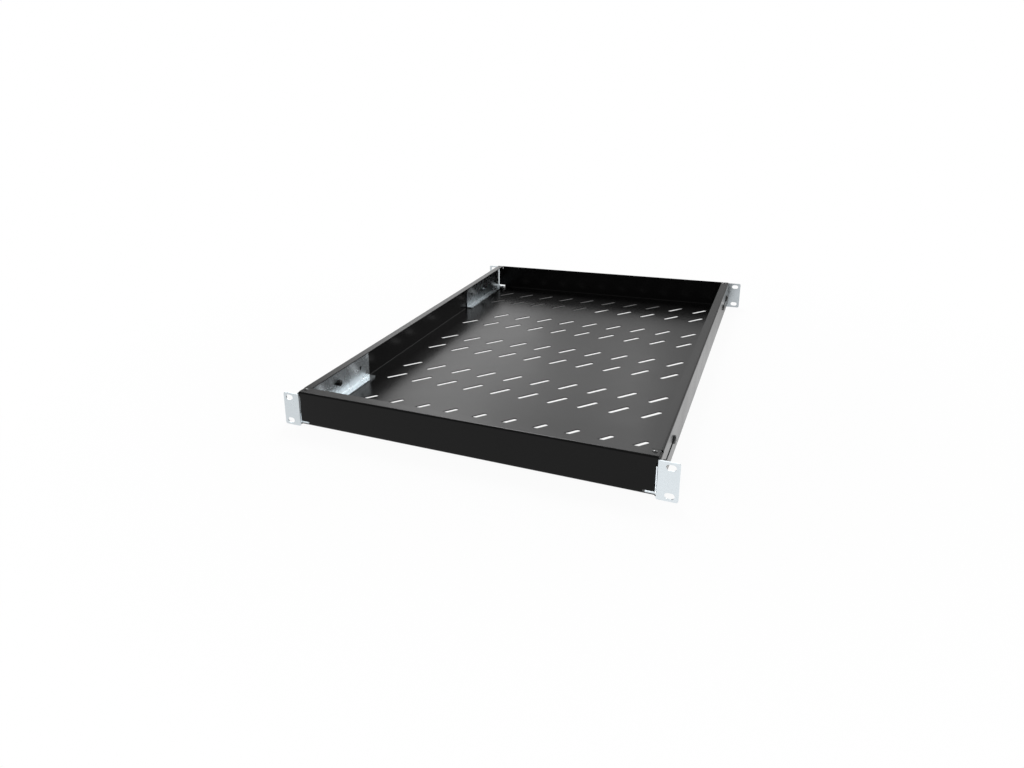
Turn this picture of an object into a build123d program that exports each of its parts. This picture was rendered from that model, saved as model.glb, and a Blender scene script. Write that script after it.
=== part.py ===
from build123d import *
import math
import os

# Rack shelf: a black folded sheet tray with a slotted floor, carried at its corners by four
# zinc plated brackets that slide along the side walls and end in slotted rack ears.
# Millimetres. +X is right, +Y is the back and +Z is up. The origin lies under the middle of the
# shelf, level with the lower edges of the ears that it stands on.

# Tray
TRAY_WIDTH = 444.0
TRAY_DEPTH = 720.0
TRAY_HEIGHT = 44.4
TRAY_SHEET = 1.2
BEND_INSIDE = 1.2
FRONT_FLANGE = 16.0
SIDE_FLANGE = 12.0
CORNER_TAB_DEPTH = 13.5
LAP_GAP = 0.1
SEAM_GAP = 0.4

# Slots in the tray floor, in pairs of rows
SLOT_PITCH = 40.3
SLOT_LENGTH = 33.0
SLOT_WIDTH = 6.0
SLOT_ANGLE = 52.0
SLOT_SIDE_MARGIN = 35.0
ROW_SPACING = 51.1
PAIR_PITCH = 140.0
FIRST_ROW_FROM_FRONT = 52.6
LAST_ROW_MARGIN = 45.0
PLAIN_PLACE = (0, 7)
PLAIN_PLACE_HOLE = 3.5

# Rack ears
HOLE_SPACING_X = 465.1
HOLE_SPACING_Z = 31.75
RACK_WIDTH = 482.6
EAR_HEIGHT = 44.0
EAR_HOLE_LENGTH = 10.2
EAR_HOLE_WIDTH = 6.8
EAR_CORNER = 2.5
TRAY_LIFT = 2.0

# Sliding brackets
BRACKET_SHEET = 1.5
BRACKET_BEND_INSIDE = 0.8
BRACKET_LENGTH = 178.0
BRACKET_FLANGE = 12.5
BRACKET_CORNER = 3.0
BRACKET_SIDE_CLEARANCE = 0.15
BRACKET_FLOOR_CLEARANCE = 0.3
BRACKET_TOP_CLEARANCE = 3.9
RELIEF = 1.2
HOLES_FROM_EAR = (32.0, 93.0, 154.0)
SCREWED_HOLES = HOLES_FROM_EAR[:2]
SCREW_HOLE = 5.5
EAR_HOME_GAP = 0.9
REAR_DRAWN_OUT = 3.3
TRAVEL = 18.0

# Openings at the tray corners that the brackets slide through
SLIT_GAP = 1.2
NOTCH_SIDE_GAP = 2.5
NOTCH_TOP_GAP = 1.6
SLIT_TOP_GAP = 0.6

# Machine screws, nuts and rivets
SCREW_SHANK = 5.0
SCREW_HEAD = 10.0
SCREW_HEAD_HEIGHT = 2.8
SCREW_HEAD_ROUND = 1.3
SCREW_LENGTH = 8.5
SCREW_TIP_CHAMFER = 0.5
RECESS_WIDTH = 1.2
RECESS_SPAN = 5.4
RECESS_DEPTH = 1.5
NUT_FLATS = 8.0
NUT_HEIGHT = 4.7
NUT_CHAMFER = 0.35
THREAD_CLEARANCE = 0.05
WALL_SLOT_CLEARANCE = 0.3
RIVET_SHANK = 3.2
RIVET_HOLE = 3.4
RIVET_HEAD = 6.5
RIVET_HEAD_HEIGHT = 1.5
RIVET_TAIL = 4.8
RIVET_TAIL_HEIGHT = 1.6
RIVET_FROM_FRONT = 10.3
RIVET_FROM_REAR = 7.0
RIVET_FROM_SIDE = 7.6

# Places worked out from the sizes above
BEND_OUTSIDE = TRAY_SHEET + BEND_INSIDE
BRACKET_BEND_OUTSIDE = BRACKET_SHEET + BRACKET_BEND_INSIDE
OVERALL_DEPTH = TRAY_DEPTH + REAR_DRAWN_OUT + 2 * (EAR_HOME_GAP + BRACKET_SHEET)
EAR_FRONT_Y = -OVERALL_DEPTH / 2
TRAY_FRONT_Y = EAR_FRONT_Y + BRACKET_SHEET + EAR_HOME_GAP
TRAY_REAR_Y = TRAY_FRONT_Y + TRAY_DEPTH
WALL_X = TRAY_WIDTH / 2
WALL_INSIDE_X = WALL_X - TRAY_SHEET
TRAY_BOTTOM_Z = TRAY_LIFT
FLOOR_Z = TRAY_BOTTOM_Z + TRAY_SHEET
TRAY_TOP_Z = TRAY_BOTTOM_Z + TRAY_HEIGHT
TAB_TOP_Z = TRAY_TOP_Z - TRAY_SHEET - LAP_GAP
SCREW_Z = TRAY_BOTTOM_Z + TRAY_HEIGHT / 2
ARM_X = WALL_INSIDE_X - BRACKET_SIDE_CLEARANCE
ARM_INSIDE_X = ARM_X - BRACKET_SHEET
ARM_BOTTOM_Z = FLOOR_Z + BRACKET_FLOOR_CLEARANCE
ARM_TOP_Z = TAB_TOP_Z - TRAY_SHEET - BRACKET_TOP_CLEARANCE
FLANGE_EDGE_X = ARM_X - BRACKET_FLANGE
SLIT_X = ARM_INSIDE_X - SLIT_GAP
SLIT_TOP_Z = ARM_TOP_Z + SLIT_TOP_GAP
NOTCH_X = FLANGE_EDGE_X - NOTCH_SIDE_GAP
NOTCH_TOP_Z = ARM_BOTTOM_Z + BRACKET_SHEET + NOTCH_TOP_GAP
RIVET_X = WALL_X - RIVET_FROM_SIDE
PAST = 5.0
WALL_FOOT = 1.0

CORNERS = {
    "front_left": (-1, -1),
    "front_right": (1, -1),
    "rear_left": (-1, 1),
    "rear_right": (1, 1),
}


def box_between(low, high):
    """Block with its lowest and highest corners at the two points."""
    size = [b - a for a, b in zip(low, high)]
    middle = [(a + b) / 2 for a, b in zip(low, high)]
    return Pos(*middle) * Box(*size)


def folded_section(plane, points, sheet, bend_outside):
    """Section of a folded sheet. Its outer line runs through the points, with the sheet on its left."""
    outer = FilletPolyline(*points, radius=bend_outside)
    return plane * make_face(offset(outer, amount=sheet, side=Side.LEFT))


def mirrored(solid, side_x, side_y):
    """The front right piece, moved to the corner with the two signs."""
    if side_x < 0:
        solid = mirror(solid, about=Plane.YZ)
    if side_y > 0:
        solid = mirror(solid, about=Plane.XZ)
    return solid


def section_along_y(points, y_start, y_end):
    """Folded tray sheet with the same section in X and Z from one Y to another."""
    plane = Plane(origin=(0, y_start, 0), x_dir=(1, 0, 0), z_dir=(0, -1, 0))
    return extrude(folded_section(plane, points, TRAY_SHEET, BEND_OUTSIDE), amount=y_start - y_end)


def section_along_x(points, half_width):
    """Folded tray sheet with the same section in Y and Z on both sides of the middle."""
    plane = Plane(origin=(0, 0, 0), x_dir=(0, 1, 0), z_dir=(1, 0, 0))
    return extrude(folded_section(plane, points, TRAY_SHEET, BEND_OUTSIDE), amount=half_width, both=True)


def floor_and_sides():
    """Floor and side walls. The side flanges are one step lower where the front flange laps them."""
    lapped_end = TRAY_FRONT_Y + FRONT_FLANGE + SEAM_GAP
    flange_x = WALL_X - SIDE_FLANGE

    def channel(top_z, y_start, y_end):
        points = [(-flange_x, top_z), (-WALL_X, top_z), (-WALL_X, TRAY_BOTTOM_Z),
                  (WALL_X, TRAY_BOTTOM_Z), (WALL_X, top_z), (flange_x, top_z)]
        return section_along_y(points, y_start, y_end)

    sheet = channel(TAB_TOP_Z, TRAY_FRONT_Y, lapped_end) + channel(TRAY_TOP_Z, lapped_end, TRAY_REAR_Y)
    # The floor ends short of the front and rear bends, and the lapped tabs short of the front wall
    for y, inward in ((TRAY_FRONT_Y, 1), (TRAY_REAR_Y, -1)):
        ends = sorted((y - inward * PAST, y + inward * BEND_OUTSIDE))
        sheet -= box_between((-SLIT_X, ends[0], 0), (SLIT_X, ends[1], FLOOR_Z + PAST))
    tab_start = TRAY_FRONT_Y + BEND_OUTSIDE
    tab_end = tab_start + CORNER_TAB_DEPTH - BEND_OUTSIDE
    for y_start, y_end in ((TRAY_FRONT_Y - PAST, tab_start), (tab_end, lapped_end)):
        for side in (-1, 1):
            ends = sorted((side * (flange_x - PAST), side * (WALL_X - BEND_OUTSIDE)))
            sheet -= box_between((ends[0], y_start, SLIT_TOP_Z), (ends[1], y_end, TRAY_TOP_Z - TRAY_SHEET / 2))
    return sheet


def front_wall():
    """Front wall with its inward flange, which laps the corner tabs of the side walls."""
    run_in = TRAY_FRONT_Y + BEND_OUTSIDE
    points = [(TRAY_FRONT_Y + FRONT_FLANGE, TRAY_TOP_Z), (TRAY_FRONT_Y, TRAY_TOP_Z),
              (TRAY_FRONT_Y, TRAY_BOTTOM_Z), (run_in + WALL_FOOT, TRAY_BOTTOM_Z)]
    return section_along_x(points, WALL_X - BEND_OUTSIDE)


def rear_wall():
    """Rear wall without a flange, but with a tab at each end that folds under the side flange."""
    run_in = TRAY_REAR_Y - BEND_OUTSIDE
    foot = (run_in - WALL_FOOT, TRAY_BOTTOM_Z)
    plain_half = WALL_X - SIDE_FLANGE - SEAM_GAP
    tab_half = WALL_X - BEND_OUTSIDE
    plain = section_along_x([foot, (TRAY_REAR_Y, TRAY_BOTTOM_Z), (TRAY_REAR_Y, TRAY_TOP_Z)], plain_half)
    tabbed = section_along_x([foot, (TRAY_REAR_Y, TRAY_BOTTOM_Z), (TRAY_REAR_Y, TAB_TOP_Z),
                              (TRAY_REAR_Y - CORNER_TAB_DEPTH, TAB_TOP_Z)], tab_half)
    tab_inner = WALL_X - SIDE_FLANGE + SEAM_GAP
    tabbed -= box_between((-tab_inner, TRAY_REAR_Y - CORNER_TAB_DEPTH - PAST, SLIT_TOP_Z),
                          (tab_inner, TRAY_REAR_Y + PAST, TRAY_TOP_Z))
    return plain + tabbed


def corner_openings():
    """L-shaped openings at both ends of the front and rear walls, for the sliding brackets."""
    cuts = []
    for side in (-1, 1):
        for y, inward in ((TRAY_FRONT_Y, 1), (TRAY_REAR_Y, -1)):
            y_ends = sorted((y - inward * PAST, y + inward * BEND_OUTSIDE))
            for inner_x, top_z in ((SLIT_X, SLIT_TOP_Z), (NOTCH_X, NOTCH_TOP_Z)):
                x_ends = sorted((side * inner_x, side * WALL_INSIDE_X))
                cuts.append(box_between((x_ends[0], y_ends[0], FLOOR_Z), (x_ends[1], y_ends[1], top_z)))
    return cuts


def floor_slot(length, width, angle):
    """Cutter for one round-ended slot in the floor."""
    outline = SlotOverall(length, width, rotation=angle)
    return Pos(0, 0, TRAY_BOTTOM_Z - PAST) * extrude(outline, TRAY_SHEET + 2 * PAST)


def slot_places():
    """Middles of the floor slots by column and row, row 0 nearest the front."""
    room_x = TRAY_WIDTH - 2 * TRAY_SHEET - 2 * SLOT_SIDE_MARGIN
    columns = int(room_x / SLOT_PITCH) + 1
    room_y = TRAY_DEPTH - FIRST_ROW_FROM_FRONT - LAST_ROW_MARGIN - ROW_SPACING
    pairs = int(room_y / PAIR_PITCH) + 1
    places = {}
    for column in range(columns):
        x = (column - (columns - 1) / 2) * SLOT_PITCH
        for row in range(2 * pairs):
            y = TRAY_FRONT_Y + FIRST_ROW_FROM_FRONT + (row // 2) * PAIR_PITCH + (row % 2) * ROW_SPACING
            places[column, row] = (x, y)
    return places


def floor_cuts():
    """The slotted field of the floor. One place has only a small hole at the end of its slot."""
    slot = floor_slot(SLOT_LENGTH, SLOT_WIDTH, SLOT_ANGLE)
    reach = (SLOT_LENGTH - SLOT_WIDTH) / 2
    cuts = []
    for place, (x, y) in slot_places().items():
        if place == PLAIN_PLACE:
            end_x = x + reach * math.cos(math.radians(SLOT_ANGLE))
            end_y = y + reach * math.sin(math.radians(SLOT_ANGLE))
            hole = Cylinder(PLAIN_PLACE_HOLE / 2, TRAY_SHEET + 2 * PAST)
            cuts.append(Pos(end_x, end_y, TRAY_BOTTOM_Z + TRAY_SHEET / 2) * hole)
        else:
            cuts.append(Pos(x, y, 0) * slot)
    return cuts


def ear_face_y(side_y):
    """Outer face of the ears on the front, -1, or the rear, 1."""
    return side_y * OVERALL_DEPTH / 2


def wall_slot(side_x, side_y):
    """Cutter for the slot in a side wall that the two screws of a bracket slide in."""
    home = BRACKET_SHEET + EAR_HOME_GAP
    first = SCREWED_HOLES[0] - home - TRAVEL
    last = SCREWED_HOLES[-1] - home
    width = SCREW_SHANK + 2 * WALL_SLOT_CLEARANCE
    length = last - first + width
    slot = extrude(SlotOverall(length, width), TRAY_SHEET + PAST, both=True)
    end_y = TRAY_REAR_Y if side_y > 0 else TRAY_FRONT_Y
    middle_y = end_y - side_y * (first + last) / 2
    return Pos(side_x * WALL_X, middle_y, SCREW_Z) * Rot(0, 90, 0) * Rot(0, 0, 90) * slot


def rivet_place(side_x, side_y):
    """Middle of a corner rivet in plan."""
    if side_y > 0:
        return side_x * RIVET_X, TRAY_REAR_Y - RIVET_FROM_REAR
    return side_x * RIVET_X, TRAY_FRONT_Y + RIVET_FROM_FRONT


def tray():
    """The folded tray, with every slot, hole and corner opening."""
    body = floor_and_sides() + front_wall() + rear_wall()
    body -= corner_openings()
    body -= floor_cuts()
    body -= [wall_slot(*signs) for signs in CORNERS.values()]
    hole = Cylinder(RIVET_HOLE / 2, 4 * TRAY_SHEET)
    body -= [Pos(*rivet_place(*signs), TRAY_TOP_Z - TRAY_SHEET) * hole for signs in CORNERS.values()]
    return body


def bracket_arm():
    """Upright plate of the front right bracket with its inward flange along the floor."""
    points = [(ARM_X - BRACKET_FLANGE, ARM_BOTTOM_Z), (ARM_X, ARM_BOTTOM_Z), (ARM_X, ARM_TOP_Z)]
    start = EAR_FRONT_Y + BRACKET_BEND_OUTSIDE
    plane = Plane(origin=(0, start, 0), x_dir=(1, 0, 0), z_dir=(0, -1, 0))
    section = folded_section(plane, points, BRACKET_SHEET, BRACKET_BEND_OUTSIDE)
    arm = extrude(section, amount=BRACKET_BEND_OUTSIDE - BRACKET_LENGTH)
    # The flange stops short of the ear's bend
    arm -= box_between((FLANGE_EDGE_X - PAST, start - PAST, 0),
                       (ARM_X - BRACKET_BEND_OUTSIDE, start + RELIEF, ARM_BOTTOM_Z + BRACKET_SHEET))
    end_y = EAR_FRONT_Y + BRACKET_LENGTH
    top = arm.edges().filter_by(Axis.X).filter_by(lambda e: abs(e.center().Z - ARM_TOP_Z) < 1e-3)
    arm = fillet(top.sort_by(Axis.Y)[-1], BRACKET_CORNER)
    tip = arm.edges().filter_by(Axis.Z).filter_by(
        lambda e: abs(e.center().X - FLANGE_EDGE_X) < 1e-3 and abs(e.center().Y - end_y) < 1e-3)
    return fillet(tip, BRACKET_CORNER)


def bracket_ear():
    """Ear of the front right bracket, with the bend that joins it to the arm."""
    ear_end_x = RACK_WIDTH / 2
    points = [(ARM_INSIDE_X, EAR_FRONT_Y + BRACKET_BEND_OUTSIDE + RELIEF), (ARM_INSIDE_X, EAR_FRONT_Y),
              (ear_end_x, EAR_FRONT_Y)]
    sheet = extrude(folded_section(Plane.XY, points, BRACKET_SHEET, BRACKET_BEND_OUTSIDE), EAR_HEIGHT)
    corners = sheet.edges().filter_by(Axis.Y).filter_by(lambda e: abs(e.center().X - ear_end_x) < 1e-3)
    sheet = fillet(corners, EAR_CORNER)
    # The bend is as tall as the ear, and behind it only the arm's own height goes on
    bend_end_y = EAR_FRONT_Y + BRACKET_BEND_OUTSIDE
    for low_z, high_z in ((-PAST, ARM_BOTTOM_Z + BRACKET_BEND_OUTSIDE), (ARM_TOP_Z, EAR_HEIGHT + PAST)):
        sheet -= box_between((ARM_INSIDE_X - PAST, bend_end_y, low_z), (ARM_X + PAST, bend_end_y + PAST, high_z))
    hole = extrude(SlotOverall(EAR_HOLE_LENGTH, EAR_HOLE_WIDTH), 4 * BRACKET_SHEET, both=True)
    for side_z in (-1, 1):
        z = EAR_HEIGHT / 2 + side_z * HOLE_SPACING_Z / 2
        sheet -= Pos(HOLE_SPACING_X / 2, EAR_FRONT_Y, z) * Rot(90, 0, 0) * hole
    return sheet


def bracket(side_x, side_y):
    """One sliding bracket in its place: arm, floor flange and rack ear in one folded piece."""
    piece = bracket_arm() + bracket_ear()
    drill = Rot(0, 90, 0) * Cylinder(SCREW_HOLE / 2, 4 * BRACKET_SHEET)
    piece -= [Pos(ARM_X, EAR_FRONT_Y + along, SCREW_Z) * drill for along in HOLES_FROM_EAR]
    return mirrored(piece, side_x, side_y)


def screw_places(side_x, side_y):
    """Points where a bracket's screws meet the outside of the side wall."""
    face = ear_face_y(side_y)
    return [(side_x * WALL_X, face - side_y * along, SCREW_Z) for along in SCREWED_HOLES]


def pan_screw():
    """Pan head machine screw with a cross recess. Its head's underside is at 0 and faces -X."""
    head = Pos(SCREW_HEAD_HEIGHT / 2, 0, 0) * Rot(0, 90, 0) * Cylinder(SCREW_HEAD / 2, SCREW_HEAD_HEIGHT)
    head = fillet(head.edges().sort_by(Axis.X)[-1], SCREW_HEAD_ROUND)
    bottom = SCREW_HEAD_HEIGHT - RECESS_DEPTH
    for across in ((RECESS_WIDTH, RECESS_SPAN), (RECESS_SPAN, RECESS_WIDTH)):
        head -= box_between((bottom, -across[0] / 2, -across[1] / 2),
                            (SCREW_HEAD_HEIGHT + PAST, across[0] / 2, across[1] / 2))
    shank = Pos(-SCREW_LENGTH / 2, 0, 0) * Rot(0, 90, 0) * Cylinder(SCREW_SHANK / 2, SCREW_LENGTH)
    shank = chamfer(shank.edges().sort_by(Axis.X)[0], SCREW_TIP_CHAMFER)
    return head + shank


def hex_nut():
    """Hexagon nut with chamfered corners. Its seat is at 0 and it reaches towards -X."""
    body = extrude(RegularPolygon(NUT_FLATS / math.sqrt(3), 6), NUT_HEIGHT)
    tops = Pos(0, 0, NUT_HEIGHT / 2) * Cylinder(NUT_FLATS / math.sqrt(3), NUT_HEIGHT)
    body &= chamfer(tops.edges(), NUT_CHAMFER)
    body -= Cylinder(SCREW_SHANK / 2 + THREAD_CLEARANCE, 3 * NUT_HEIGHT)
    return Rot(0, -90, 0) * body


def rivet():
    """Blind rivet through two sheets. The underside of its domed head is at 0."""
    grip = 2 * TRAY_SHEET + LAP_GAP
    dome_radius = (RIVET_HEAD ** 2 / 4 + RIVET_HEAD_HEIGHT ** 2) / (2 * RIVET_HEAD_HEIGHT)
    ball = Pos(0, 0, RIVET_HEAD_HEIGHT - dome_radius) * Sphere(dome_radius)
    dome = ball & Pos(0, 0, RIVET_HEAD_HEIGHT / 2) * Cylinder(RIVET_HEAD, RIVET_HEAD_HEIGHT)
    shank = Pos(0, 0, -grip / 2) * Cylinder(RIVET_SHANK / 2, grip)
    tail = Pos(0, 0, -grip - RIVET_TAIL_HEIGHT / 2) * Cylinder(RIVET_TAIL / 2, RIVET_TAIL_HEIGHT)
    return dome + shank + fillet(tail.edges().sort_by(Axis.Z)[0], RIVET_TAIL_HEIGHT / 3)


def all_parts():
    """Every piece of the shelf by name, in its place."""
    parts = {"tray": tray()}
    screw, nut, rivet_solid = pan_screw(), hex_nut(), rivet()
    for corner, (side_x, side_y) in CORNERS.items():
        turn = Rot(0, 0, 0) if side_x > 0 else Rot(0, 0, 180)
        parts[f"bracket_{corner}"] = bracket(side_x, side_y)
        for label, (x, y, z) in zip(("outer", "inner"), screw_places(side_x, side_y)):
            parts[f"screw_{corner}_{label}"] = Pos(x, y, z) * turn * screw
            parts[f"nut_{corner}_{label}"] = Pos(side_x * ARM_INSIDE_X, y, z) * turn * nut
        parts[f"rivet_{corner}"] = Pos(*rivet_place(side_x, side_y), TRAY_TOP_Z) * rivet_solid
    return parts


os.makedirs("parts", exist_ok=True)
for name, shape in all_parts().items():
    solids = shape.solids()
    whole = solids[0] if len(solids) == 1 else Compound(solids)
    whole.label = name
    export_step(whole, f"parts/{name}.step")
    print(name, len(solids), round(whole.volume, 1))
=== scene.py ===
"""Rack shelf: a black powder coated tray on four sliding zinc plated brackets, in a white studio.

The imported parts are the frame. Lengths are in metres unless a name ends in _mm. +X is right,
+Y is the back and +Z is up. The module dresses every part with its finish and replaces the plain
screws by threaded ones.
"""
import logging
import math
from dataclasses import dataclass
from enum import Enum

import bmesh
import bpy
from mathutils import Matrix, Vector


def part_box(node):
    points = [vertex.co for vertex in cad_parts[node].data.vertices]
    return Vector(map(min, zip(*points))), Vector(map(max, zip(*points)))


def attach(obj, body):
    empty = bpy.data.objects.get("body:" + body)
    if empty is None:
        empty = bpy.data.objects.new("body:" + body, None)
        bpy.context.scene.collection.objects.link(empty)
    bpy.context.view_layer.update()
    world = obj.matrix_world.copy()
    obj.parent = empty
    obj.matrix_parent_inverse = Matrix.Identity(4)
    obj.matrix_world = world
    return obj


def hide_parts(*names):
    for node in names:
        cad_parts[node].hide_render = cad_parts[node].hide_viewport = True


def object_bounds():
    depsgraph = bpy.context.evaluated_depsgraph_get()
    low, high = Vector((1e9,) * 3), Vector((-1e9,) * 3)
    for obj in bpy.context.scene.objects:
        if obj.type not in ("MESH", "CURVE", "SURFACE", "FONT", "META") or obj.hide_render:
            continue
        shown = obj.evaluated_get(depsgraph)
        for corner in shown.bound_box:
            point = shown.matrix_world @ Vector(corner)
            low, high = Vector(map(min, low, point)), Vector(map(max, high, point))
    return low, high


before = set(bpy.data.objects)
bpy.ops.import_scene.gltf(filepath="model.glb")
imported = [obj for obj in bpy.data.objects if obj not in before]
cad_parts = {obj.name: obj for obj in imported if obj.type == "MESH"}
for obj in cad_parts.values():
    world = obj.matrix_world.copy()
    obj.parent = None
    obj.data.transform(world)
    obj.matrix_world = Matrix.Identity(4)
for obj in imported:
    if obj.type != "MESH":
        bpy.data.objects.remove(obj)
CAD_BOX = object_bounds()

LOG = logging.getLogger("rack_shelf")
MM = 0.001
IMAGE_WIDTH = 1024
IMAGE_HEIGHT = 768
SENSOR_WIDTH_MM = 36.0
NOISE_LOW = 0.3
NOISE_HIGH = 0.7
CRISP_EDGE_DEGREES = 40.0
SHANK_OF_NUT_FLATS = 5.0 / 8.0

Colour = tuple[float, float, float]
Feed = float | Colour | bpy.types.NodeSocket


class Slot(Enum):
    """Material slots that the record names."""

    POWDER_COAT = "black_powder_coat"
    ZINC = "zinc_plate"
    FASTENER = "black_fastener"


class Corner(Enum):
    """Corners of the tray: the label used in part names, and the side in X."""

    FRONT_LEFT = ("front_left", -1)
    FRONT_RIGHT = ("front_right", 1)
    REAR_LEFT = ("rear_left", -1)
    REAR_RIGHT = ("rear_right", 1)

    @property
    def label(self) -> str:
        """Name of the corner inside part names."""
        return self.value[0]

    @property
    def side_x(self) -> int:
        """Sign of X on this corner's side."""
        return self.value[1]


class ShaderTree:
    """Node tree of one material, with short calls that add nodes and join them."""

    def __init__(self, name: str) -> None:
        """Start an empty material.

        Args:
            name: Name of the new material.
        """
        self.material = bpy.data.materials.new(name)
        self.material.use_nodes = True
        self.tree = self.material.node_tree
        self.tree.nodes.clear()
        self.position = self.add("TexCoord").outputs["Object"]

    def add(self, kind: str, inputs: dict[str | int, Feed] | None = None,
            **settings: object) -> bpy.types.Node:
        """Add a node and feed its inputs.

        Args:
            kind: Node type without its ShaderNode prefix.
            inputs: Value, colour or socket for each input, by name or by place.
            settings: Attributes of the node itself.

        Returns:
            The new node.
        """
        node = self.tree.nodes.new("ShaderNode" + kind)
        for name, value in settings.items():
            setattr(node, name, value)
        for key, value in (inputs or {}).items():
            self.feed(node.inputs[key], value)
        return node

    def feed(self, socket: bpy.types.NodeSocket, value: Feed) -> None:
        """Link a socket to an input, or set the input's own value.

        Args:
            socket: The input.
            value: A number, a colour or an output socket.
        """
        if isinstance(value, bpy.types.NodeSocket):
            self.tree.links.new(value, socket)
        elif socket.type == "RGBA":
            socket.default_value = (*value, 1.0)
        else:
            socket.default_value = value

    def noise(self, cell: float, detail: float = 2.0,
              stretch: Colour = (1.0, 1.0, 1.0)) -> bpy.types.NodeSocket:
        """Cloudy noise over the object's own coordinates.

        Args:
            cell: Size of one blotch.
            detail: Number of finer layers.
            stretch: Factor on each axis. Below 1 draws the blotches out along it.

        Returns:
            Socket with values around 0.5.
        """
        place = self.add("Mapping", {"Vector": self.position, "Scale": stretch}).outputs["Vector"]
        return self.add("TexNoise", {"Vector": place, "Scale": 1.0 / cell, "Detail": detail}).outputs["Fac"]

    def remap(self, value: Feed, low: float, high: float,
              to_low: float, to_high: float) -> bpy.types.NodeSocket:
        """Straight change of range, held at both ends.

        Args:
            value: What is changed.
            low: Value that gives to_low.
            high: Value that gives to_high.
            to_low: Result at the low end.
            to_high: Result at the high end.

        Returns:
            Socket with the result.
        """
        ends = {"Value": value, "From Min": low, "From Max": high, "To Min": to_low, "To Max": to_high}
        return self.add("MapRange", ends).outputs["Result"]

    def math(self, operation: str, first: Feed, second: Feed) -> bpy.types.NodeSocket:
        """Result of an operation on two values.

        Args:
            operation: Name of the operation.
            first: First value.
            second: Second value.

        Returns:
            Socket with the result.
        """
        return self.add("Math", {0: first, 1: second}, operation=operation).outputs[0]

    def blend(self, factor: Feed, first: Feed, second: Feed) -> bpy.types.NodeSocket:
        """Mix of two colours.

        Args:
            factor: Share of the second colour.
            first: Colour at 0.
            second: Colour at 1.

        Returns:
            Socket with the mixed colour.
        """
        mix = self.add("Mix", data_type="RGBA")
        factor_in = next(s for s in mix.inputs if s.identifier == "Factor_Float")
        first_in = next(s for s in mix.inputs if s.identifier == "A_Color")
        second_in = next(s for s in mix.inputs if s.identifier == "B_Color")
        for socket, value in ((factor_in, factor), (first_in, first), (second_in, second)):
            self.feed(socket, value)
        return next(s for s in mix.outputs if s.identifier == "Result_Color")

    def bump(self, height: Feed, depth: float, below: Feed | None = None) -> bpy.types.NodeSocket:
        """Surface relief.

        Args:
            height: Height from 0 to 1.
            depth: Real height of 1.
            below: Relief that this one lies on.

        Returns:
            Socket with the normal.
        """
        inputs: dict[str | int, Feed] = {"Height": height, "Strength": 1.0, "Distance": depth}
        if below is not None:
            inputs["Normal"] = below
        return self.add("Bump", inputs).outputs["Normal"]

    def surface(self, inputs: dict[str | int, Feed]) -> bpy.types.Material:
        """Close the tree with a principled surface.

        Args:
            inputs: Feeds of the surface.

        Returns:
            The finished material.
        """
        shader = self.add("BsdfPrincipled", inputs).outputs["BSDF"]
        return self.close(shader)

    def close(self, shader: bpy.types.NodeSocket) -> bpy.types.Material:
        """Close the tree with any shader.

        Args:
            shader: What the surface shows.

        Returns:
            The finished material.
        """
        self.add("OutputMaterial", {"Surface": shader})
        return self.material


@dataclass(frozen=True)
class PowderCoat:
    """Baked black powder coat: very dark, satin, with a fine orange peel."""

    colour: Colour = (0.0032, 0.0031, 0.0032)
    speck_colour: Colour = (0.0060, 0.0059, 0.0060)
    speck_start: float = 0.45
    speck_full: float = 0.75
    index: float = 1.27
    gloss_low: float = 0.21
    gloss_high: float = 0.25
    peel_cell: float = 1.1 * MM
    peel_depth: float = 0.006 * MM
    grain_cell: float = 0.28 * MM
    grain_depth: float = 0.0012 * MM
    cloud_cell: float = 60.0 * MM

    def material(self) -> bpy.types.Material:
        """Build the coat's material."""
        tree = ShaderTree("powder_coat")
        peel = tree.noise(self.peel_cell)
        grain = tree.noise(self.grain_cell, detail=1.0)
        cloud = tree.noise(self.cloud_cell)
        relief = tree.bump(grain, self.grain_depth, tree.bump(peel, self.peel_depth))
        specks = tree.remap(grain, self.speck_start, self.speck_full, 0.0, 1.0)
        return tree.surface({
            "Base Color": tree.blend(specks, self.colour, self.speck_colour),
            "Roughness": tree.remap(cloud, NOISE_LOW, NOISE_HIGH, self.gloss_low, self.gloss_high),
            "IOR": self.index,
            "Normal": relief,
        })


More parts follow.
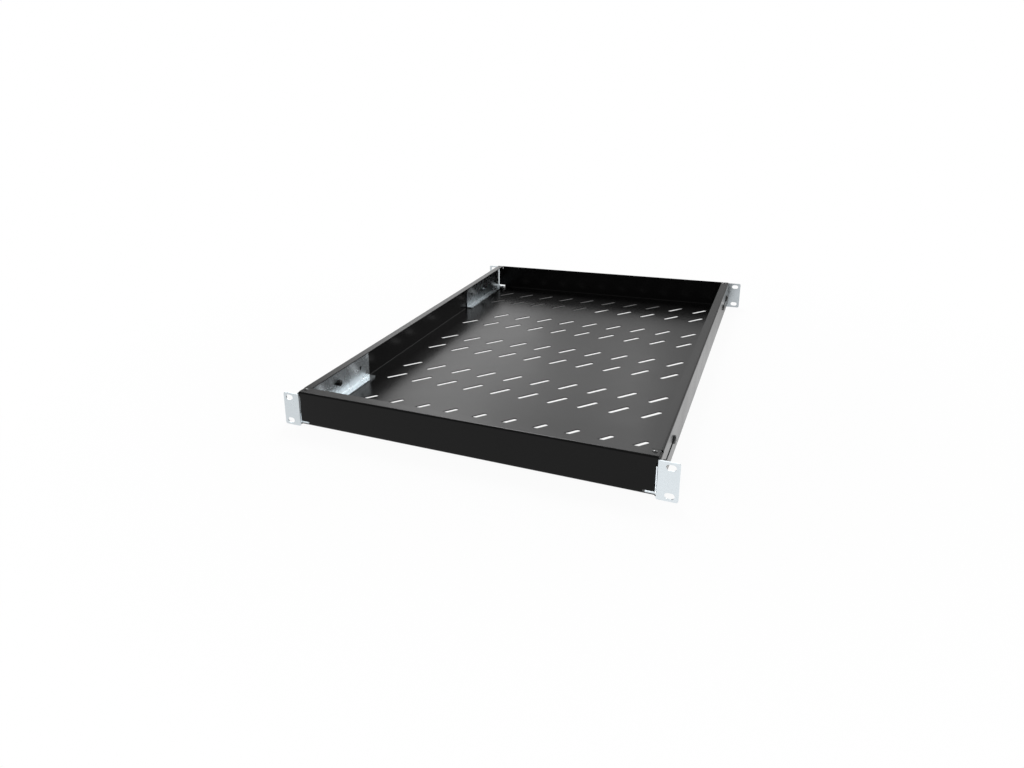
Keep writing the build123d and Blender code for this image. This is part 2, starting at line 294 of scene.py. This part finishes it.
@dataclass(frozen=True)
class ZincPlating:
    """Bright zinc on cold rolled steel: bluish, mottled, with a grain that draws highlights out."""

    # Factor on both colours: above 1 it paints the plating lighter, in place of brighter light that the
    # bracket reflects.
    shade: float = 1.0
    pale: Colour = (0.67, 0.72, 0.75)
    dull: Colour = (0.64, 0.69, 0.72)
    pale_start: float = 0.12
    pale_full: float = 0.38
    gloss_low: float = 0.24
    gloss_high: float = 0.30
    drawn: float = 0.80
    cross_rolled: Colour = (0.3, 1.0, 0.0)
    mottle_cell: float = 22.0 * MM
    fleck_cell: float = 2.6 * MM
    line_cell: float = 0.5 * MM
    line_stretch: Colour = (1.0, 0.03, 1.0)
    line_depth: float = 0.0006 * MM
    wave_cell: float = 30.0 * MM
    wave_depth: float = 0.02 * MM

    def tone(self, colour: Colour) -> Colour:
        """Colour times this plating's shade factor, a painted lightening or darkening of the zinc.

        Args:
            colour: Colour at shade 1.

        Returns:
            The lighter or darker colour.
        """
        return tuple(min(1.0, part * self.shade) for part in colour)

    def material(self) -> bpy.types.Material:
        """Build the plating's material."""
        tree = ShaderTree("zinc_plating")
        mottle = tree.noise(self.mottle_cell, detail=3.0)
        fleck = tree.noise(self.fleck_cell, detail=2.0)
        lines = tree.noise(self.line_cell, detail=1.0, stretch=self.line_stretch)
        wave = tree.noise(self.wave_cell, detail=1.0)
        patches = tree.math("MULTIPLY", mottle, fleck)
        paleness = tree.remap(patches, self.pale_start, self.pale_full, 0.0, 1.0)
        relief = tree.bump(lines, self.line_depth, tree.bump(wave, self.wave_depth))
        normal = tree.add("NewGeometry").outputs["Normal"]
        cross = tree.add("VectorMath", {0: normal, 1: self.cross_rolled}, operation="CROSS_PRODUCT")
        return tree.surface({
            "Base Color": tree.blend(paleness, self.tone(self.dull), self.tone(self.pale)),
            "Metallic": 1.0,
            "Roughness": tree.remap(mottle, NOISE_LOW, NOISE_HIGH, self.gloss_low, self.gloss_high),
            "Anisotropic": self.drawn,
            "Tangent": cross.outputs["Vector"],
            "Normal": relief,
        })


@dataclass(frozen=True)
class BlackOxide:
    """Black finish of screws, nuts and rivets, a little shinier in scattered worn spots."""

    colour: Colour = (0.004, 0.004, 0.0044)
    index: float = 1.85
    gloss_low: float = 0.10
    gloss_high: float = 0.18
    wear_cell: float = 1.6 * MM
    grain_cell: float = 0.2 * MM
    grain_depth: float = 0.002 * MM

    def material(self) -> bpy.types.Material:
        """Build the fastener's material."""
        tree = ShaderTree("black_oxide")
        wear = tree.noise(self.wear_cell)
        grain = tree.noise(self.grain_cell, detail=1.0)
        return tree.surface({
            "Base Color": self.colour,
            "Roughness": tree.remap(wear, NOISE_LOW, NOISE_HIGH, self.gloss_low, self.gloss_high),
            "IOR": self.index,
            "Normal": tree.bump(grain, self.grain_depth),
        })


def dress(node: str, finish: bpy.types.Material) -> None:
    """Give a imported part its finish.

    Args:
        node: Name of the part.
        finish: Material that goes on it.
    """
    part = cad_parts[node]
    for holder in part.material_slots:
        holder.material = finish
    LOG.info("%s dressed", node)


@dataclass
class Tray:
    """The folded tray with the four rivets that hold its rim corners."""

    coat: bpy.types.Material
    oxide: bpy.types.Material

    def dress(self) -> None:
        """Coat the tray and blacken its rivets."""
        dress("tray", self.coat)
        for corner in Corner:
            dress(f"rivet_{corner.label}", self.oxide)


@dataclass(frozen=True)
class PanScrew:
    """Pan head screw with a cross recess and a rolled thread. The head's underside is at 0, facing -X."""

    head_radius: float
    head_height: float
    shank_radius: float
    shank_length: float
    head_round: float = 1.3 * MM
    crown: float = 0.25 * MM
    pitch: float = 0.8 * MM
    thread_depth: float = 0.46 * MM
    root_share: float = 0.12
    flank_share: float = 0.70
    tip_chamfer: float = 0.5 * MM
    recess_reach: float = 2.7 * MM
    recess_half_width: float = 0.6 * MM
    recess_depth: float = 1.5 * MM
    recess_foot: float = 0.55
    round_steps: int = 6
    turn_steps: int = 40
    pitch_steps: int = 8

    def head_profile(self) -> list[tuple[float, float]]:
        """Half section of the head as places along X and radii, from the underside to the crown."""
        side_end = self.head_height - self.crown - self.head_round
        points = [(0.0, 0.0), (0.0, self.head_radius), (side_end, self.head_radius)]
        inner = self.head_radius - self.head_round
        for step in range(1, self.round_steps + 1):
            angle = math.pi / 2 * step / self.round_steps
            along = side_end + self.head_round * math.sin(angle)
            points.append((along, inner + self.head_round * math.cos(angle)))
        for step in range(1, self.round_steps + 1):
            share = step / self.round_steps
            points.append((self.head_height - self.crown * (1 - share) ** 2, inner * (1 - share)))
        return points

    def thread_radius(self, along: float, angle: float) -> float:
        """Radius of the thread's surface.

        Args:
            along: Distance from the head's underside.
            angle: Angle round the axis.

        Returns:
            Radius there, cut back by the chamfer of the tip.
        """
        phase = (along / self.pitch - angle / math.tau) % 1.0
        rise = (abs(phase - 0.5) * 2 - self.root_share) / self.flank_share
        radius = self.shank_radius - self.thread_depth * (1 - max(0.0, min(1.0, rise)))
        tip_limit = self.shank_radius - self.tip_chamfer + (self.shank_length - along)
        return min(radius, tip_limit)

    def lathe(self, profile: list[tuple[float, float]]) -> bmesh.types.BMesh:
        """Turn a half section round the X axis.

        Args:
            profile: Places along X and radii. It starts and ends on the axis.

        Returns:
            Closed mesh.
        """
        turned = bmesh.new()
        rings = []
        for x, radius in profile:
            if radius <= 0.0:
                rings.append([turned.verts.new((x, 0.0, 0.0))])
                continue
            ring = []
            for step in range(self.turn_steps):
                angle = math.tau * step / self.turn_steps
                ring.append(turned.verts.new((x, radius * math.cos(angle), radius * math.sin(angle))))
            rings.append(ring)
        join_rings(turned, rings)
        return turned

    def thread(self) -> bmesh.types.BMesh:
        """Shank with its helical thread, closed at both ends."""
        shank = bmesh.new()
        count = round(self.shank_length / self.pitch * self.pitch_steps)
        rings = [[shank.verts.new((0.0, 0.0, 0.0))]]
        for index in range(count + 1):
            along = self.shank_length * index / count
            ring = []
            for step in range(self.turn_steps):
                angle = math.tau * step / self.turn_steps
                radius = self.thread_radius(along, angle)
                ring.append(shank.verts.new((-along, radius * math.cos(angle), radius * math.sin(angle))))
            rings.append(ring)
        rings.append([shank.verts.new((-self.shank_length, 0.0, 0.0))])
        join_rings(shank, rings)
        return shank

    def recess_cutter(self) -> bmesh.types.BMesh:
        """Cross with tapered wings that sinks into the crown."""
        cutter = bmesh.new()
        top = self.head_height + self.crown
        bottom = self.head_height - self.recess_depth
        rings = []
        for x, share in ((bottom, self.recess_foot), (top, 1.0)):
            reach = self.recess_reach * share
            half = self.recess_half_width * (1.0 + share) / 2
            outline = []
            for quarter in range(4):
                turn = Matrix.Rotation(math.pi / 2 * quarter, 3, "X")
                for corner in ((half, half), (reach, half), (reach, -half)):
                    outline.append(cutter.verts.new(turn @ Vector((x, corner[0], corner[1]))))
            order = sorted(range(len(outline)), key=lambda i: math.atan2(outline[i].co.z, outline[i].co.y))
            rings.append([outline[i] for i in order])
        join_rings(cutter, rings)
        for ring in rings:
            cutter.faces.new(ring)
        return cutter

    def mesh(self) -> bpy.types.Mesh:
        """Whole screw as one mesh."""
        head = mesh_object(self.lathe(self.head_profile()), "screw_head")
        cutter = mesh_object(self.recess_cutter(), "recess_cutter")
        cut = head.modifiers.new("recess", "BOOLEAN")
        cut.operation, cut.solver, cut.object = "DIFFERENCE", "EXACT", cutter
        graph = bpy.context.evaluated_depsgraph_get()
        whole = bmesh.new()
        whole.from_mesh(bpy.data.meshes.new_from_object(head.evaluated_get(graph)))
        shank = self.thread()
        part = bpy.data.meshes.new("screw_shank")
        shank.to_mesh(part)
        shank.free()
        whole.from_mesh(part)
        bmesh.ops.recalc_face_normals(whole, faces=whole.faces)
        for helper in (head, cutter):
            bpy.data.objects.remove(helper)
        result = bpy.data.meshes.new("pan_screw")
        whole.to_mesh(result)
        whole.free()
        return result


def join_rings(target: bmesh.types.BMesh, rings: list[list[bmesh.types.BMVert]]) -> None:
    """Skin a row of rings with faces. A ring of one vertex is a pole.

    Args:
        target: Mesh that holds the rings.
        rings: Rings of equal length, or poles, in order.
    """
    for first, second in zip(rings, rings[1:]):
        count = max(len(first), len(second))
        for step in range(count):
            after = (step + 1) % count
            corners = [first[step % len(first)], first[after % len(first)],
                       second[after % len(second)], second[step % len(second)]]
            unique = list(dict.fromkeys(corners))
            target.faces.new(unique)


def mesh_object(source: bmesh.types.BMesh, name: str) -> bpy.types.Object:
    """Put a mesh under construction into the scene and free it.

    Args:
        source: The mesh.
        name: Name of the object.

    Returns:
        The new object.
    """
    bmesh.ops.recalc_face_normals(source, faces=source.faces)
    mesh = bpy.data.meshes.new(name)
    source.to_mesh(mesh)
    source.free()
    made = bpy.data.objects.new(name, mesh)
    bpy.context.scene.collection.objects.link(made)
    return made


@dataclass
class SlidingBracket:
    """One sliding bracket with its rack ear, two screws and two nuts."""

    corner: Corner
    zinc: bpy.types.Material
    oxide: bpy.types.Material
    screw_mesh: bpy.types.Mesh

    def dress(self) -> None:
        """Plate the bracket and blacken its nuts."""
        dress(f"bracket_{self.corner.label}", self.zinc)
        for place in ("outer", "inner"):
            dress(f"nut_{self.corner.label}_{place}", self.oxide)

    def build(self) -> None:
        """Put a threaded screw in the place of each plain one."""
        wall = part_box("tray")[1].x
        for place in ("outer", "inner"):
            node = f"screw_{self.corner.label}_{place}"
            low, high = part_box(node)
            middle = (low + high) / 2
            screw = bpy.data.objects.new(f"{node}_threaded", self.screw_mesh)
            bpy.context.scene.collection.objects.link(screw)
            turn = Matrix.Identity(4) if self.corner.side_x > 0 else Matrix.Rotation(math.pi, 4, "Z")
            screw.matrix_world = Matrix.Translation((self.corner.side_x * wall, middle.y, middle.z)) @ turn
            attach(screw, f"bracket_{self.corner.label}")
            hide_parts(node)
            LOG.info("%s in place of %s", screw.name, node)


def shade_smooth_by_angle(mesh: bpy.types.Mesh, limit: float) -> None:
    """Smooth the faces and keep edges sharper than the limit crisp.

    Args:
        mesh: The mesh.
        limit: Angle in radians.
    """
    mesh.shade_smooth()
    mesh.set_sharp_from_angle(angle=limit)


@dataclass(frozen=True)
class SoftBox:
    """Flat lamp that faces the shelf. Its angles are in degrees, as seen from the shelf's middle.

    The azimuth is counted from the back towards the left. Across and up are the angles that the
    lamp spans, and the radiance is that of a surface where 1 is white.
    """

    name: str
    azimuth: float
    elevation: float
    across: float
    up: float
    radiance: float
    distance: float = 6.0

    def build(self) -> None:
        """Hang the lamp and keep it out of the picture."""
        lamp = bpy.data.lights.new(self.name, "AREA")
        lamp.shape = "RECTANGLE"
        lamp.size, lamp.size_y = (2 * self.distance * math.tan(math.radians(span / 2))
                                  for span in (self.across, self.up))
        lamp.energy = math.pi * lamp.size * lamp.size_y * self.radiance
        holder = bpy.data.objects.new(self.name, lamp)
        bpy.context.scene.collection.objects.link(holder)
        holder.matrix_world = (Matrix.Rotation(math.radians(self.azimuth), 4, "Z")
                               @ Matrix.Rotation(math.radians(90.0 + self.elevation), 4, "X")
                               @ Matrix.Translation((0.0, 0.0, -self.distance))
                               @ Matrix.Rotation(math.pi, 4, "Y"))
        holder.visible_camera = False


@dataclass(frozen=True)
class Studio:
    """White floor in a dimmer room, with soft lamps.

    To the camera the floor is white, less a trace of shadow (seen_shade). In metal and gloss it
    darkens towards the back (mirrored_shade, reached from mirrored_start to mirrored_full in Y).
    Both fade out between shade_full and shade_gone from the shelf's middle. The patch is a deeper
    shade under the tray's rear left corner, behind a slanting line.
    """

    floor_size: float = 30.0
    floor_colour: Colour = (0.98, 0.98, 0.98)
    seen_shade: float = 0.05
    mirrored_shade: float = 0.45
    mirrored_start: float = 0.05
    mirrored_full: float = 0.36
    shade_full: float = 0.42
    shade_gone: float = 0.80
    patch_start: float = 0.250
    patch_end: float = 0.262
    patch_slant: float = 0.42
    patch_margin: float = 12.0 * MM
    patch_depth: float = 0.87
    room: float = 0.40
    lamps: tuple[SoftBox, ...] = (
        SoftBox("softbox_back_left", azimuth=29.0, elevation=14.0, across=22.0, up=18.0, radiance=1.04),
        SoftBox("softbox_back_step", azimuth=28.5, elevation=29.5, across=10.0, up=9.0, radiance=1.4),
        SoftBox("softbox_back_low", azimuth=12.0, elevation=15.0, across=10.0, up=20.0, radiance=0.2),
        SoftBox("softbox_back_high", azimuth=20.0, elevation=40.0, across=24.0, up=40.0, radiance=1.1),
        SoftBox("softbox_back_right", azimuth=-16.0, elevation=40.0, across=48.0, up=40.0, radiance=0.75),
        SoftBox("softbox_right_low", azimuth=-34.0, elevation=18.0, across=22.0, up=16.0, radiance=0.4),
        SoftBox("key_lamp", azimuth=26.0, elevation=48.0, across=12.0, up=18.0, radiance=14.0),
        SoftBox("lamp_left", azimuth=46.0, elevation=38.0, across=8.0, up=8.0, radiance=7.0),
        SoftBox("lamp_right", azimuth=-23.0, elevation=38.0, across=7.0, up=14.0, radiance=7.0),
    )

    def floor_material(self) -> bpy.types.Material:
        """Floor that looks white to the camera and in metal, and keeps a trace of the shelf's shadow."""
        tree = ShaderTree("studio_floor")
        path = tree.add("LightPath").outputs
        place = tree.add("SeparateXYZ", {"Vector": tree.position}).outputs
        reach = tree.add("VectorMath", {0: tree.position}, operation="LENGTH").outputs["Value"]
        fade = tree.remap(reach, self.shade_full, self.shade_gone, 1.0, 0.0)
        deep = tree.remap(place["Y"], self.mirrored_start, self.mirrored_full, 0.0, self.mirrored_shade)
        clear = tree.math("SUBTRACT", 1.0, tree.math("MULTIPLY", fade, self.seen_shade))
        bare = tree.math("SUBTRACT", 1.0, self.patch(tree, place["X"], place["Y"]))
        seen = tree.math("MULTIPLY", path["Is Camera Ray"], tree.math("MULTIPLY", clear, bare))
        bright = tree.math("SUBTRACT", 1.0, tree.math("MULTIPLY", fade, deep))
        mirrored = tree.math("MULTIPLY", path["Is Glossy Ray"], bright)
        plain = tree.add("BsdfDiffuse", {"Color": self.floor_colour}).outputs["BSDF"]
        white = tree.add("Emission", {"Color": (1.0, 1.0, 1.0), "Strength": 1.0}).outputs["Emission"]
        share = tree.math("MAXIMUM", seen, mirrored)
        return tree.close(tree.add("MixShader", {0: share, 1: plain, 2: white}).outputs[0])

    def patch(self, tree: ShaderTree, x: bpy.types.NodeSocket,
              y: bpy.types.NodeSocket) -> bpy.types.NodeSocket:
        """Deeper shade that shows through the rear left slots.

        Args:
            tree: The floor's shader tree.
            x: Place across the shelf.
            y: Place along the shelf.

        Returns:
            Socket with the share of the white that is lost there.
        """
        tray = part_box("tray")[1]
        behind = tree.math("SUBTRACT", y, tree.math("MULTIPLY", x, self.patch_slant))
        depth = tree.remap(behind, self.patch_start, self.patch_end, 0.0, self.patch_depth)
        off_middle = tree.math("ABSOLUTE", x, 0.0)
        within_x = tree.math("LESS_THAN", off_middle, tray.x - self.patch_margin)
        within_y = tree.math("LESS_THAN", y, tray.y - self.patch_margin)
        return tree.math("MULTIPLY", tree.math("MULTIPLY", within_y, within_x), depth)

    def build_floor(self) -> None:
        """Lay the floor under the shelf."""
        plane = bmesh.new()
        bmesh.ops.create_grid(plane, x_segments=1, y_segments=1, size=self.floor_size / 2)
        floor = mesh_object(plane, "studio_floor")
        floor.location.z = CAD_BOX[0].z
        floor.data.materials.append(self.floor_material())

    def build_world(self) -> None:
        """Surround the shelf with a dim room. The camera sees it white."""
        world = bpy.data.worlds.new("studio")
        world.use_nodes = True
        tree = world.node_tree
        background = tree.nodes["Background"]
        background.inputs["Color"].default_value = (1.0, 1.0, 1.0, 1.0)
        brighter = tree.nodes.new("ShaderNodeMath")
        brighter.operation = "MAXIMUM"
        brighter.inputs[0].default_value = self.room
        tree.links.new(tree.nodes.new("ShaderNodeLightPath").outputs["Is Camera Ray"], brighter.inputs[1])
        tree.links.new(brighter.outputs[0], background.inputs["Strength"])
        bpy.context.scene.world = world

    def build(self) -> None:
        """Make the floor, the surroundings and the lamps."""
        self.build_floor()
        self.build_world()
        for lamp in self.lamps:
            lamp.build()
        LOG.info("studio built with %d lamps", len(self.lamps))


@dataclass(frozen=True)
class PhotoCamera:
    """Camera at the photograph's place. Angles are in degrees and image places in pixels."""

    place_mm: tuple[float, float, float] = (314.94, -1062.05, 409.27)
    yaw: float = 28.726
    down: float = 17.26
    roll: float = -2.629
    focal_length: float = 738.7
    centre: tuple[float, float] = (398.8, 317.9)

    def build(self) -> None:
        """Make the camera and look through it."""
        data = bpy.data.cameras.new("photo_camera")
        data.sensor_width = SENSOR_WIDTH_MM
        data.lens = self.focal_length * SENSOR_WIDTH_MM / IMAGE_WIDTH
        data.shift_x = (IMAGE_WIDTH / 2 - self.centre[0]) / IMAGE_WIDTH
        data.shift_y = (self.centre[1] - IMAGE_HEIGHT / 2) / IMAGE_WIDTH
        camera = bpy.data.objects.new("photo_camera", data)
        bpy.context.scene.collection.objects.link(camera)
        turn = (Matrix.Rotation(math.radians(self.yaw), 4, "Z")
                @ Matrix.Rotation(math.radians(90.0 - self.down), 4, "X")
                @ Matrix.Rotation(math.radians(self.roll), 4, "Z"))
        camera.matrix_world = Matrix.Translation(Vector(self.place_mm) * MM) @ turn
        bpy.context.scene.camera = camera
        LOG.info("camera placed")


def screw_from_frame() -> PanScrew:
    """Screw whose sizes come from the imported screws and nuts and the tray's wall."""
    low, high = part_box("screw_front_right_outer")
    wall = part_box("tray")[1].x
    nut_low, nut_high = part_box("nut_front_right_outer")
    return PanScrew(head_radius=(high.y - low.y) / 2, head_height=high.x - wall,
                    shank_radius=(nut_high.y - nut_low.y) * SHANK_OF_NUT_FLATS / 2,
                    shank_length=wall - low.x)


def main() -> None:
    """Build the shelf's finishes, parts, studio and camera."""
    logging.basicConfig(level=logging.INFO, format="%(name)s %(message)s")
    coat = PowderCoat().material()
    zinc = ZincPlating().material()
    # Painted lighter copy of the zinc for the front right bracket, standing in for the brighter
    # surroundings it reflects.
    painted_lighter_zinc = ZincPlating(shade=1.2).material()
    oxide = BlackOxide().material()
    Tray(coat, oxide).dress()
    screw_mesh = screw_from_frame().mesh()
    screw_mesh.materials.append(oxide)
    shade_smooth_by_angle(screw_mesh, math.radians(CRISP_EDGE_DEGREES))
    for corner in Corner:
        # The front right bracket takes the painted lighter zinc; the others take the plain plating.
        plating = painted_lighter_zinc if corner is Corner.FRONT_RIGHT else zinc
        bracket = SlidingBracket(corner, plating, oxide, screw_mesh)
        bracket.dress()
        bracket.build()
    Studio().build()
    PhotoCamera().build()
    bpy.context.scene.view_settings.view_transform = "Standard"


if __name__ == "__main__":
    main()
